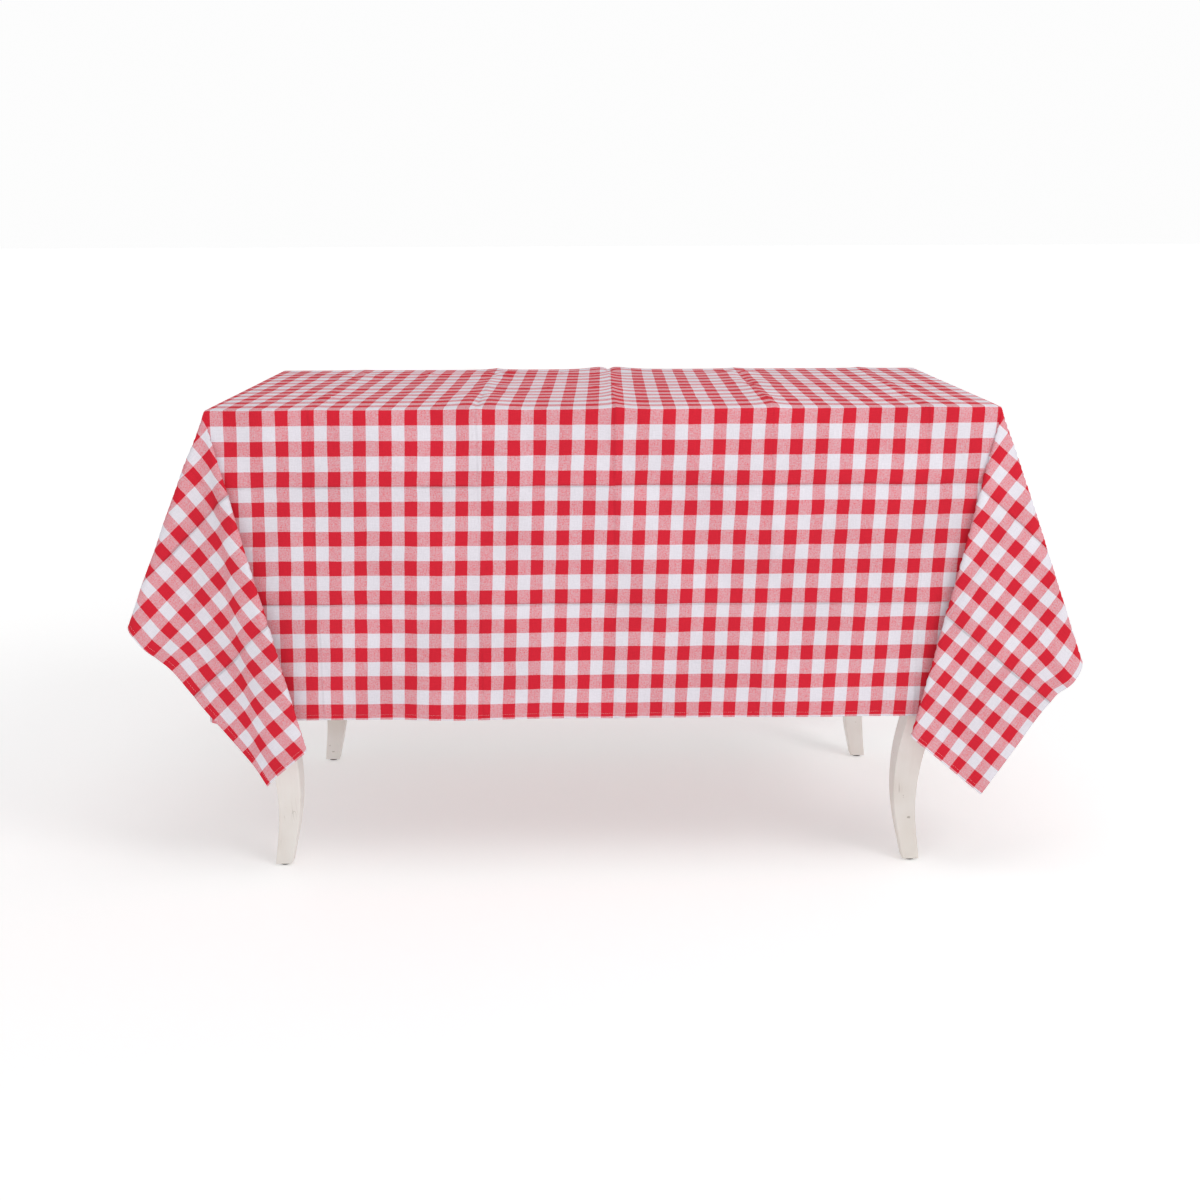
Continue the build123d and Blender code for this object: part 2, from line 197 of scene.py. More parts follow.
# ---------------------------------------------------------------- creases and wrinkles
def noise(u, v, scale, seed):
    """Smooth noise from -1 to 1, with features of about that size, in metres."""
    cells = 64
    grid = np.random.RandomState(seed).uniform(-1, 1, (cells, cells))
    a, b = u / scale[0] + NOISE_SHIFT_U, v / scale[1] + NOISE_SHIFT_V
    i, j = np.floor(a).astype(int), np.floor(b).astype(int)
    s, t = a - i, b - j
    s, t = s * s * (3 - 2 * s), t * t * (3 - 2 * t)
    i0, i1, j0, j1 = i % cells, (i + 1) % cells, j % cells, (j + 1) % cells
    low = grid[i0, j0] * (1 - s) + grid[i1, j0] * s
    high = grid[i0, j1] * (1 - s) + grid[i1, j1] * s
    return low * (1 - t) + high * t


NOISE_SHIFT_U, NOISE_SHIFT_V = 17.3, 11.7  # keeps the noise grid's lines off the table's middle

MIDDLE_U = (CLOTH_LEFT + CLOTH_RIGHT) / 2
CREASES_U = [MIDDLE_U + c for c in (-0.672, -0.445, -0.203, 0.0, 0.230, 0.458, 0.684)]
CREASES_V = [-0.580, -0.400, -0.189, 0.0, 0.189, 0.400, 0.580]
CREASE_SIZES_U = (0.7, 0.9, 1.3, 2.6, 1.8, 1.2, 0.7)
CREASE_ROUND = 0.0015
RIDGE_WIDTH, GROOVE_WIDTH_U, GROOVE_WIDTH_V = 0.014, 0.014, 0.018

PINCH_COUNT = 90
PINCH_SCATTER_U, PINCH_SCATTER_V = 0.012, 0.010  # how far a crumple lies from its crease
PINCH_LENGTHS, PINCH_WIDTHS = (0.010, 0.024), (0.004, 0.008)
PINCH_HEIGHTS = (0.0010, 0.0026)
PINCH_BEND = 6.0
PINCH_REACH = 0.08

HANG_RAMP = 0.05  # the cloth counts as hanging once it is this far below the top
FLAP_RAMP = 0.06  # and as a corner flap once it is this far past both edges
FLAP_CALM, FLAP_STILL = 0.45, 0.85  # how much less a flap is creased, and how much less it waves
TAUT_REACH, TAUT_CALM = 0.022, 0.85  # the cloth is pulled smooth near the board's edges
DROP = 0.47
HEM_WAVE = 0.008  # how far the drops swing in and out at the hem


def ridge(x, width):
    """A crease standing up: a narrow crest with long straight flanks."""
    return np.exp(-(np.sqrt(x * x + CREASE_ROUND**2) - CREASE_ROUND) / width)


def groove(x, width):
    """A crease pressed in: a narrow valley between low shoulders."""
    depth = np.sqrt(x * x + CREASE_ROUND**2) - CREASE_ROUND
    return math.e * depth / width * np.exp(-depth / width)


def pinches(u, v):
    """Short crumples left where the folded cloth was pressed, mostly where creases cross."""
    draw = np.random.RandomState(11)
    h = np.zeros_like(u)
    for n in range(PINCH_COUNT):
        centre_u, centre_v = draw.choice(CREASES_U), draw.choice(CREASES_V)
        if n % 2:
            centre_u = draw.uniform(CLOTH_LEFT, CLOTH_RIGHT)
        elif n % 4:
            centre_v = draw.uniform(CLOTH_FRONT, CLOTH_BACK)
        centre_u = centre_u + draw.normal(0, PINCH_SCATTER_U)
        centre_v = centre_v + draw.normal(0, PINCH_SCATTER_V)
        turn = draw.uniform(0, math.pi)
        length = draw.uniform(*PINCH_LENGTHS)
        width = draw.uniform(*PINCH_WIDTHS)
        height = draw.uniform(*PINCH_HEIGHTS)
        x, y = u - centre_u, v - centre_v
        near = (np.abs(x) < PINCH_REACH) & (np.abs(y) < PINCH_REACH)
        x, y = x[near], y[near]
        along = x * math.cos(turn) + y * math.sin(turn)
        across = y * math.cos(turn) - x * math.sin(turn)
        across = across + PINCH_BEND * along * along
        h[near] += height * np.exp(-(along / length) ** 2 - (across / width) ** 2)
    return h


def relief(u, v):
    """How far the cloth stands off the plain drape, in metres."""
    past_side, past_front = np.abs(u) - HALF_X, np.abs(v) - HALF_Y
    down = np.maximum(np.maximum(past_side, past_front), 0)
    hanging = np.clip(down / HANG_RAMP, 0, 1)
    flap = np.clip(np.minimum(past_side, past_front) / FLAP_RAMP, 0, 1)
    calm = 1 - FLAP_CALM * flap
    taut = 1 - TAUT_CALM * np.exp(-((np.maximum(past_side, past_front) / TAUT_REACH) ** 2))
    h = 0
    for n, c in enumerate(CREASES_V):
        stands = (u < MIDDLE_U) == (n % 2 == 1)
        size = 0.0009 + 0.0005 * noise(u, v, (0.12, 9), 60 + n) + hanging * 0.0016
        fold = np.where(stands, ridge(v - c, RIDGE_WIDTH), groove(v - c, GROOVE_WIDTH_V))
        h = h + calm * taut * size * fold
    for n, c in enumerate(CREASES_U):
        c = c + 0.0035 * noise(u, v, (9, 0.045), 70 + n) * (1 - hanging)
        strength = CREASE_SIZES_U[n] * (1 - 0.6 * hanging)
        size = strength * (0.0016 + 0.0009 * noise(u, v, (9, 0.09), 80 + n))
        stands = noise(u, v, (9, 0.13), 90 + n) > -0.25
        fold = np.where(stands, ridge(u - c, RIDGE_WIDTH), groove(u - c, GROOVE_WIDTH_U))
        h = h + calm * size * fold
    h = h + 0.0006 * (1 + taut * noise(u, v, (0.11, 0.09), 1))
    h = h + 0.0004 * (1 + taut * noise(u, v, (0.035, 0.03), 2))
    wave = (1 - FLAP_STILL * flap) * hanging * down / DROP * HEM_WAVE
    h = h + wave * noise(u, v, (0.17, 0.60), 3)
    h = h + calm * hanging * 0.0018 * noise(u, v, (0.06, 0.16), 4)
    return h + calm * taut * pinches(u, v)


# where a pressed crease reaches a side hem it kinks the hem: end, place, spread, lift
KINK_REACH = 0.06  # how far in from the hem a kink is felt
KINK_SWING = 0.6  # how far a kink swings the hem out, as a share of how far it moves it up or down
HEM_KINKS = {
    -1: ((-1, -0.540, 0.040, 0.013), (-1, -0.470, 0.030, -0.004), (1, 0.560, 0.045, 0.009)),
    1: ((-1, -0.515, 0.034, -0.012), (-1, -0.610, 0.045, 0.008), (1, 0.560, 0.040, 0.007)),
}


def kinks(u, v):
    """How far the side hems are lifted near the corner folds; down is negative."""
    lift = np.zeros_like(u)
    for side, edge in ((-1, CLOTH_LEFT), (1, CLOTH_RIGHT)):
        reach = np.exp(-((u - edge) / KINK_REACH) ** 2) * (u * side > 0)
        for end, place, spread, height in HEM_KINKS[side]:
            lift += reach * height * np.exp(-(((v - place) / spread) ** 2)) * (v * end > 0)
    return lift


def clear_of_board(p):
    """Moves points out until the cloth's middle lies its offset away from the board."""
    half = np.array([board_high[0], board_high[1]]) - BOARD_CORNER_RADIUS
    q = np.abs(p[..., :2]) - half
    outside = np.maximum(q, 0)
    length = np.linalg.norm(outside, axis=-1)
    flat = length + np.minimum(q.max(-1), 0) - BOARD_CORNER_RADIUS
    axis = np.where((q[..., :1] > q[..., 1:]), [1.0, 0.0], [0.0, 1.0])
    way = np.where(length[..., None] > 0, outside / np.maximum(length, 1e-9)[..., None], axis)
    way = way * np.sign(p[..., :2])
    e0, e1 = flat + BOARD_EDGE_RADIUS, p[..., 2] - board_high[2] + BOARD_EDGE_RADIUS
    m0, m1 = np.maximum(e0, 0), np.maximum(e1, 0)
    both = np.hypot(m0, m1)
    distance = both + np.minimum(np.maximum(e0, e1), 0) - BOARD_EDGE_RADIUS
    s0 = np.where(both > 0, m0 / np.maximum(both, 1e-9), e0 > e1)
    s1 = np.where(both > 0, m1 / np.maximum(both, 1e-9), e0 <= e1)
    push = np.maximum(CLOTH_OFFSET - distance, 0)
    out = p.copy()
    out[..., :2] += (push * s0)[..., None] * way
    out[..., 2] += push * s1
    return out


def normals_of(p):
    """Outward normals of a grid of points."""
    n = np.cross(np.gradient(p, axis=0), np.gradient(p, axis=1))
    return n / np.maximum(np.linalg.norm(n, axis=-1, keepdims=True), 1e-12)


def surface(us, vs):
    """The cloth's middle surface on a grid of flat positions, and its normals."""
    u, v = np.meshgrid(us, vs, indexing="ij")
    p = soft_drape(u, v)
    lift = kinks(u, v)[..., None]
    outwards = relief(u, v)[..., None] + KINK_SWING * np.abs(lift)
    p = p + outwards * normals_of(p) + lift * np.array([0, 0, 1.0])
    p = clear_of_board(p)
    return p, normals_of(p)


# ---------------------------------------------------------------- meshes
def shell(name, p, n, thick_out, thick_in, flat_u, flat_v):
    """A closed sheet round a grid of points, with the flat cloth's position as its UV."""
    rows, cols = p.shape[:2]
    count = rows * cols
    verts = np.concatenate([(p + n * thick_out).reshape(-1, 3), (p - n * thick_in).reshape(-1, 3)])
    index = np.arange(count).reshape(rows, cols)
    a, b, c, d = index[:-1, :-1], index[1:, :-1], index[1:, 1:], index[:-1, 1:]
    outer = np.stack([a, b, c, d], -1).reshape(-1, 4)
    inner = np.stack([a, d, c, b], -1).reshape(-1, 4) + count
    loop = np.concatenate([index[:, 0], index[-1, 1:], index[-2::-1, -1], index[0, -2:0:-1]])
    after = np.roll(loop, -1)
    rim = np.stack([loop, loop + count, after + count, after], -1)
    faces = np.concatenate([outer, inner, rim])
    mesh = bpy.data.meshes.new(name)
    mesh.vertices.add(len(verts))
    mesh.vertices.foreach_set("co", verts.astype(np.float32).ravel())
    mesh.loops.add(faces.size)
    mesh.loops.foreach_set("vertex_index", faces.ravel().astype(np.int32))
    mesh.polygons.add(len(faces))
    mesh.polygons.foreach_set("loop_start", np.arange(0, faces.size, 4, dtype=np.int32))
    mesh.polygons.foreach_set("use_smooth", np.ones(len(faces), bool))
    uv = np.stack([flat_u.ravel(), flat_v.ravel()], -1)
    uv = np.concatenate([uv, uv])[faces.ravel()]
    mesh.uv_layers.new(name="flat").data.foreach_set("uv", uv.astype(np.float32).ravel())
    mesh.update(calc_edges=True)
    mesh.validate()
    piece = bpy.data.objects.new(name, mesh)
    bpy.context.scene.collection.objects.link(piece)
    return piece


HEM_STEP, EDGE_STEP, CREASE_STEP = 0.0016, 0.0011, 0.0018  # the closest grid lines at each mark
HANGING_STEP, FLAT_STEP = 0.0054, 0.0095  # the widest ones
STEP_GROWTH = 0.32
BESIDE_EDGE = 0.02
CREASE_REACH = 0.3


def ruled(low, high, spacing, marks):
    """Grid lines from low to high, close together near each (place, spacing) mark."""
    lines = [low]
    while lines[-1] < high:
        x = lines[-1]
        near = min(step + STEP_GROWTH * abs(x - place) for place, step in marks)
        lines.append(x + min(spacing(x), near))
    lines = np.array(lines)
    return low + (lines - low) * (high - low) / (lines[-1] - low)


def cloth_lines(low, high, half, creases):
    """Grid lines for the cloth, close at its hems, at the board's edges and at the creases."""
    marks = [(low, HEM_STEP), (high, HEM_STEP), (-half, EDGE_STEP), (half, EDGE_STEP)]
    marks += [(c, CREASE_STEP) for c in creases if abs(c) < half + CREASE_REACH]

    def widest(x):
        return HANGING_STEP if abs(x) > half - BESIDE_EDGE else FLAT_STEP

    return ruled(low, high, widest, marks)


us = cloth_lines(CLOTH_LEFT, CLOTH_RIGHT, HALF_X, CREASES_U)
vs = cloth_lines(CLOTH_FRONT, CLOTH_BACK, HALF_Y, CREASES_V)
flat_u, flat_v = np.meshgrid(us, vs, indexing="ij")
points, normals = surface(us, vs)
half_thick = CLOTH_THICKNESS / 2
cloth = shell("tablecloth", points, normals, half_thick, half_thick, flat_u, flat_v)

# the hem: the cloth's edge turned under twice, so it shows the next of the pattern mirrored
ALONG_STEP, CORNER_STEP = 0.005, 0.0015
HEM_END_INSET = 0.0005
HEM_GAP = 0.00004  # between the cloth and its turned hem
INSETS = np.array([0.0002, 0.001, 0.004, 0.007, 0.009, HEM_WIDTH])
HEM_PUFF = np.array([0.5, 0.9, 1.0, 0.8, 0.9, 0.5])
hems = {}
for side, edge, inward, across in (
    ("front", CLOTH_FRONT, 1, "v"), ("back", CLOTH_BACK, -1, "v"),
    ("left", CLOTH_LEFT, 1, "u"), ("right", CLOTH_RIGHT, -1, "u"),
):
    lines = edge + inward * INSETS
    order = np.argsort(lines)
    lines, puff = lines[order], HEM_PUFF[order]
    if across == "v":
        along = ruled(CLOTH_LEFT + HEM_END_INSET, CLOTH_RIGHT - HEM_END_INSET,
                      lambda x: ALONG_STEP, [(-HALF_X, CORNER_STEP), (HALF_X, CORNER_STEP)])
        grid_u, grid_v = np.meshgrid(along, lines, indexing="ij")
        p, n = surface(along, lines)
        thick = HEM_THICKNESS * puff[None, :, None]
        mirrored = grid_u, 2 * edge - grid_v
    else:
        along = ruled(CLOTH_FRONT + HEM_WIDTH, CLOTH_BACK - HEM_WIDTH,
                      lambda x: ALONG_STEP, [(-HALF_Y, CORNER_STEP), (HALF_Y, CORNER_STEP)])
        grid_u, grid_v = np.meshgrid(lines, along, indexing="ij")
        p, n = surface(lines, along)
        thick = HEM_THICKNESS * puff[:, None, None]
        mirrored = 2 * edge - grid_u, grid_v
    base = p - n * (half_thick + HEM_GAP)
    hems[side] = shell(f"{side}_hem_band", base, n, 0.0, thick, *mirrored)


def stitches(name):
    """A running stitch round the hem, on the face and on the back, as small bent spindles."""
    verts, faces = [], []
    ring = np.array([(0, 1), (1, 0.35), (0, -0.3), (-1, 0.35)])
    sides, per_stitch = len(ring), 2 + 2 * len(ring)
    for edge, inward, across in ((CLOTH_FRONT, 1, "v"), (CLOTH_BACK, -1, "v"),
                                 (CLOTH_LEFT, 1, "u"), (CLOTH_RIGHT, -1, "u")):
        line = edge + inward * STITCH_INSET
        low, high = (CLOTH_LEFT, CLOTH_RIGHT) if across == "v" else (CLOTH_FRONT, CLOTH_BACK)
        starts = np.arange(low + STITCH_INSET, high - STITCH_INSET - STITCH_LENGTH, STITCH_PITCH)
        along = np.sort(np.concatenate([starts, starts + STITCH_LENGTH]))
        lines = np.array([line - 0.001, line, line + 0.001])
        if across == "v":
            p, n = surface(along, lines)
            p, n = p[:, 1], n[:, 1]
        else:
            p, n = surface(lines, along)
            p, n = p[1], n[1]
        for face, lift in ((1, half_thick), (-1, half_thick + HEM_THICKNESS * 0.85)):
            a = p[0::2] + n[0::2] * face * (lift - STITCH_SUNK)
            b = p[1::2] + n[1::2] * face * (lift - STITCH_SUNK)
            up = n[0::2] * face
            way = (b - a) / np.linalg.norm(b - a, axis=1, keepdims=True)
            wide = np.cross(way, up)
            first = sum(len(x) for x in verts)
            rings = [a[:, None]]
            for t in STITCH_RINGS:
                centre = a + (b - a) * t + up * STITCH_RISE
                rings.append(centre[:, None] + STITCH_RADIUS * STITCH_FULLNESS * (
                    ring[None, :, :1] * wide[:, None] + ring[None, :, 1:] * up[:, None]))
            rings.append(b[:, None])
            block = np.concatenate(rings, 1)
            verts.append(block.reshape(-1, 3))
            at = first + np.arange(len(a))[:, None] * per_stitch
            near, far, end = at + 1, at + 1 + sides, at + per_stitch - 1
            for i in range(sides):
                j = (i + 1) % sides
                faces.append(np.concatenate([at, near + j, near + i, near + i], 1))
                faces.append(np.concatenate([near + i, near + j, far + j, far + i], 1))
                faces.append(np.concatenate([far + i, far + j, end, end], 1))
    verts = np.concatenate(verts)
    quads = np.concatenate(faces)
    mesh = bpy.data.meshes.new(name)
    mesh.from_pydata(verts.tolist(), [], [list(dict.fromkeys(q)) for q in quads.tolist()])
    mesh.polygons.foreach_set("use_smooth", np.ones(len(mesh.polygons), bool))
    mesh.update()
    piece = bpy.data.objects.new(name, mesh)
    bpy.context.scene.collection.objects.link(piece)
    return piece


stitching = stitches("hem_stitching")

# ---------------------------------------------------------------- materials
def linear(r, g, b):
    """An sRGB colour, 0 to 255, as the linear values that a shader takes."""
    out = [c / 255 for c in (r, g, b)]
    return tuple(c / 12.92 if c <= 0.04045 else ((c + 0.055) / 1.055) ** 2.4 for c in out) + (1,)


class Nodes:
    """A material's node tree, with short calls for the nodes used here."""

    def __init__(self, name, **shader):
        self.material = bpy.data.materials.new(name)
        self.material.use_nodes = True
        self.tree = self.material.node_tree
        self.shader = self.tree.nodes["Principled BSDF"]
        for socket, value in shader.items():
            self.shader.inputs[socket.replace("_", " ")].default_value = value

    def put(self, socket, value):
        if isinstance(value, bpy.types.NodeSocket):
            self.tree.links.new(value, socket)
        else:
            socket.default_value = value

    def node(self, kind, inputs=None, **settings):
        made = self.tree.nodes.new("ShaderNode" + kind)
        for key, value in settings.items():
            setattr(made, key, value)
        for key, value in (inputs or {}).items():
            self.put(made.inputs[key], value)
        return made

    def math(self, operation, *values):
        made = self.node("Math", operation=operation)
        for socket, value in zip(made.inputs, values):
            self.put(socket, value)
        return made.outputs[0]

    def mix(self, factor, a, b):
        made = self.node("Mix", data_type="RGBA", blend_type="MIX")
        for name, value in (("Factor_Float", factor), ("A_Color", a), ("B_Color", b)):
            socket = next(s for s in made.inputs if s.identifier == name)
            self.put(socket, value)
        return next(s for s in made.outputs if s.identifier == "Result_Color")

    def noise(self, where, scale, detail=2.0, roughness=0.5):
        return self.node("TexNoise", {"Vector": where, "Scale": scale, "Detail": detail,
                                      "Roughness": roughness}).outputs["Fac"]

    def stretch(self, where, scale):
        return self.node("Mapping", {"Vector": where, "Scale": scale}).outputs[0]

    def ramp(self, value, low, high, to_low=0.0, to_high=1.0):
        ends = {"Value": value, "From Min": low, "From Max": high,
                "To Min": to_low, "To Max": to_high}
        return self.node("MapRange", ends, interpolation_type="SMOOTHSTEP").outputs["Result"]

    def colour(self, value):
        self.put(self.shader.inputs["Base Color"], value)

    def rough(self, value):
        self.put(self.shader.inputs["Roughness"], value)

    def bump(self, height, strength, distance):
        """Adds relief to the shading, on top of any relief that was added before."""
        made = self.node("Bump", {"Height": height, "Strength": strength, "Distance": distance})
        normal = self.shader.inputs["Normal"]
        if normal.is_linked:
            self.put(made.inputs["Normal"], normal.links[0].from_socket)
        self.put(normal, made.outputs[0])


RED = linear(209, 37, 54)
WHITE = linear(226, 222, 230)
# how much painted shade darkens the colour along each crease line, as a share of its value
CREASE_LINE, CREASE_DEPTH, CREASE_PAINTED_SHADE = 0.0034, 0.0017, 0.16
CREASE_SHADE_FROM, CREASE_SHADE_TO = 0.0006, 0.0022  # how far from its middle a crease has painted shade
CREASE_STRENGTH_U, CREASE_STRENGTH_V = 0.35, 1.0
WANDER, WANDER_SCALE = 0.0022, 22.0  # how far the stripes stray from straight, in metres
LEAN, DROP_LEAN = 0.0157, 0.0215  # how far the stripes lean, and how much more on the front drop
YARN_PERIOD = 0.0011  # two yarns
SLUB_ALONG, SLUB_ACROSS = 60, 1300
MIXED_RED, HEM_EXTRA_RED = 0.595, 0.10  # the share of red where the two colours cross
LEAST_RED, MOST_RED = 0.15, 0.95


def gingham(name, on_hem=False):
    """Yarn-dyed red and white checks: solid where dyed yarns cross, mottled where they mix."""
    m = Nodes(name, Roughness=0.88, Specular_IOR_Level=0.10, Sheen_Weight=0.03, Sheen_Roughness=0.5)
    flat = m.node("UVMap", uv_map="flat").outputs[0]
    wander = m.node("TexNoise", {"Vector": flat, "Scale": WANDER_SCALE, "Detail": 1.5})
    stray = m.node("SeparateXYZ", {"Vector": wander.outputs["Color"]})
    place = m.node("SeparateXYZ", {"Vector": flat})
    u, v = (
        m.math("MULTIPLY_ADD", m.math("SUBTRACT", stray.outputs[n], 0.5), WANDER, place.outputs[n])
        for n in (0, 1)
    )
    # the stripes lean a little against the hems, and more on the front drop
    from_edge = m.math("ADD", v, HALF_Y)
    lean = m.math("MULTIPLY_ADD", from_edge, LEAN,
                  m.math("MULTIPLY", m.math("MINIMUM", from_edge, 0.0), DROP_LEAN))
    across = m.math("DIVIDE", m.math("SUBTRACT", m.math("SUBTRACT", u, FIRST_RED), lean), CHECK_X)
    down = m.math("DIVIDE", m.math("MULTIPLY", from_edge, -1.0), CHECK_Y)
    warp = m.math("LESS_THAN", m.math("FRACT", across), 0.5)
    weft = m.math("LESS_THAN", m.math("FRACT", down), 0.5)
    both = m.math("MULTIPLY", warp, weft)
    either = m.math("MAXIMUM", warp, weft)
    # the weave: yarns about 0.55 mm apart, of uneven thickness
    yarn = 2 * math.pi / YARN_PERIOD
    wave_u = m.math("SINE", m.math("MULTIPLY", place.outputs[0], yarn))
    wave_v = m.math("SINE", m.math("MULTIPLY", place.outputs[1], yarn))
    over = m.math("MULTIPLY", wave_u, wave_v)
    slub_u = m.noise(m.stretch(flat, (SLUB_ACROSS, SLUB_ALONG, 1)), 1.0, 2.0, 0.6)
    slub_v = m.noise(m.stretch(flat, (SLUB_ALONG, SLUB_ACROSS, 1)), 1.0, 2.0, 0.6)
    slub = m.math("SUBTRACT", m.math("ADD", slub_u, slub_v), 1.0)
    fleck = m.math("SUBTRACT", m.noise(flat, 440.0, 2.0, 0.75), 0.5)
    mottle = m.math("MULTIPLY_ADD", over, 0.14, MIXED_RED)
    mottle = m.math("MULTIPLY_ADD", slub, 0.60, mottle)
    mottle = m.math("MULTIPLY_ADD", fleck, 1.0, mottle)
    if on_hem:
        mottle = m.math("ADD", mottle, HEM_EXTRA_RED)
    mottle = m.math("MINIMUM", m.math("MAXIMUM", mottle, LEAST_RED), MOST_RED)
    mixed = m.math("SUBTRACT", either, both)
    red = m.math("ADD", both, m.math("MULTIPLY", mixed, mottle))
    colour = m.mix(red, WHITE, RED)
    broad = m.noise(flat, 9.0, 3.0)
    value = m.math("ADD", m.ramp(broad, 0.3, 0.7, 0.96, 1.03),
                   m.math("MULTIPLY_ADD", slub, 0.22, m.math("MULTIPLY", over, 0.035)))
    value = m.math("MULTIPLY_ADD", fleck, 0.20, value)
    value = m.math("MULTIPLY_ADD", mixed, 0.05, value)
    # the pressed creases: thin lines, standing up or pressed in, with painted shade darkening the
    # colour along their middles
    left = m.math("MULTIPLY_ADD", m.math("LESS_THAN", u, MIDDLE_U), 2.0, -1.0)
    front = m.math("MULTIPLY_ADD", m.math("LESS_THAN", v, 0.0), 2.0, -1.0)
    crease_shade_paint, pressed_height = 0.0, 0.0
    for along, creases, turn, depth in (
        (v, CREASES_V, left, CREASE_STRENGTH_V), (u, CREASES_U, front, CREASE_STRENGTH_U),
    ):
        for n, c in enumerate(creases):
            gap = m.math("ABSOLUTE", m.math("SUBTRACT", along, c))
            shade = m.ramp(gap, CREASE_SHADE_FROM, CREASE_SHADE_TO, CREASE_PAINTED_SHADE * depth, 0.0)
            crease_shade_paint = m.math("MAXIMUM", shade, crease_shade_paint)
            line = m.ramp(gap, 0.0, CREASE_LINE, depth if n % 2 else -depth, 0.0)
            pressed_height = m.math("MULTIPLY_ADD", line, turn, pressed_height)
    uneven = m.ramp(m.noise(flat, 14.0, 2.0), 0.35, 0.6, 0.55, 1.0)
    # painted shade: the crease lines' darkening, made uneven, is taken off the cloth's colour value
    painted_crease_shade = m.math("MULTIPLY", crease_shade_paint, uneven)
    value = m.math("SUBTRACT", value, painted_crease_shade)
    tone = m.node("HueSaturation", {"Color": colour, "Value": value})
    m.colour(tone.outputs[0])
    height = m.math("MULTIPLY_ADD", slub, 1.2, m.math("MULTIPLY", m.math("ABSOLUTE", over), 0.6))
    m.bump(m.math("MULTIPLY", pressed_height, uneven), 1.0, CREASE_DEPTH)
    m.bump(height, 0.35, 0.00025)
    m.rough(m.ramp(slub, -0.4, 0.4, 0.90, 0.80))
    return m.material


def painted(name, base, dark):
    """Old off-white paint on wood: brushed, a little yellowed, cracked and chipped."""
    m = Nodes(name, Roughness=0.45, Specular_IOR_Level=0.4, Coat_Weight=0.08, Coat_Roughness=0.3)
    where = m.node("TexCoord").outputs["Object"]
    grain = m.noise(m.stretch(where, (60, 60, 5)), 1.5, 4.0, 0.6)
    cloudy = m.noise(where, 7.0, 3.0)
    colour = m.mix(m.ramp(cloudy, 0.35, 0.7), base, dark)
    colour = m.mix(m.ramp(grain, 0.45, 0.75, 0.0, 0.3), colour, dark)
    warp = m.math("MULTIPLY", m.math("SUBTRACT", m.noise(where, 12.0, 2.0), 0.5), 0.02)
    shift = m.node("CombineXYZ", {"X": warp, "Y": warp})
    moved = m.node("VectorMath", {0: where, 1: shift.outputs[0]}, operation="ADD")
    lines = m.noise(m.stretch(moved.outputs[0], (150, 150, 4)), 1.0, 1.0)
    crack = m.ramp(m.math("ABSOLUTE", m.math("SUBTRACT", lines, 0.5)), 0.004, 0.018, 1.0, 0.0)
    crack = m.math("MULTIPLY", crack, m.ramp(m.noise(where, 14.0, 2.0), 0.62, 0.70, 0.0, 0.35))
    chips = m.ramp(m.noise(where, 150.0, 4.0, 0.62), 0.735, 0.76, 0.0, 0.6)
    height = m.node("SeparateXYZ", {"Vector": where}).outputs["Z"]
    low = m.ramp(height, 0.02, 0.10, 0.05, 0.0)
    foot_wear = m.math("ADD", m.noise(where, 110.0, 4.0), low)
    chips = m.math("MAXIMUM", chips, m.ramp(foot_wear, 0.72, 0.76, 0.0, 0.7))
    worn = m.math("MAXIMUM", crack, chips)
    colour = m.mix(m.math("MULTIPLY", worn, 0.7), colour, linear(120, 98, 78))
    m.colour(colour)
    m.rough(m.ramp(m.math("ADD", cloudy, m.math("MULTIPLY", worn, 0.5)), 0.3, 0.9, 0.38, 0.72))
    relief_height = m.math("SUBTRACT", m.math("MULTIPLY", grain, 0.35), worn)
    m.bump(relief_height, 0.45, 0.0006)
    return m.material


def beech(name):
    """Bare beech, with fine straight grain and short dark flecks."""
    m = Nodes(name, Roughness=0.6, Specular_IOR_Level=0.3)
    where = m.node("TexCoord").outputs["Object"]
    grain = m.noise(m.stretch(where, (9, 9, 120)), 6.0, 5.0, 0.6)
    fleck = m.noise(m.stretch(where, (60, 60, 420)), 6.0, 2.0)
    colour = m.mix(m.ramp(grain, 0.3, 0.7), linear(206, 170, 126), linear(176, 134, 92))
    colour = m.mix(m.ramp(fleck, 0.62, 0.72, 0, 0.6), colour, linear(128, 88, 56))
    m.colour(colour)
    m.rough(m.ramp(grain, 0.3, 0.7, 0.52, 0.7))
    m.bump(grain, 0.3, 0.0004)
    return m.material


def steel(name):
    """Zinc-plated steel: a faint spangle, fine scratches and dull patches."""
    m = Nodes(name, Metallic=1.0, Roughness=0.35)
    where = m.node("TexCoord").outputs["Object"]
    spangle = m.noise(where, 320.0, 2.0)
    scratch = m.noise(m.stretch(where, (1500, 120, 1500)), 1.0, 2.0)
    m.colour(m.mix(m.ramp(spangle, 0.35, 0.65), linear(176, 178, 180), linear(140, 142, 146)))
    m.rough(m.math("ADD", m.ramp(spangle, 0.3, 0.7, 0.26, 0.46), m.ramp(scratch, 0.5, 0.8, 0, 0.2)))
    m.bump(scratch, 0.2, 0.0001)
    return m.material


def plastic(name):
    """Moulded black-grey nylon, finely grained and scuffed."""
    m = Nodes(name, Roughness=0.55, Specular_IOR_Level=0.45)
    where = m.node("TexCoord").outputs["Object"]
    grain = m.noise(where, 2600.0, 2.0)
    scuff = m.noise(m.stretch(where, (140, 420, 300)), 1.0, 3.0)
    m.colour(m.mix(m.ramp(scuff, 0.5, 0.75, 0, 0.5), linear(62, 58, 55), linear(120, 114, 108)))
    m.rough(m.ramp(scuff, 0.4, 0.8, 0.45, 0.75))
    m.bump(grain, 0.25, 0.0001)
    return m.material


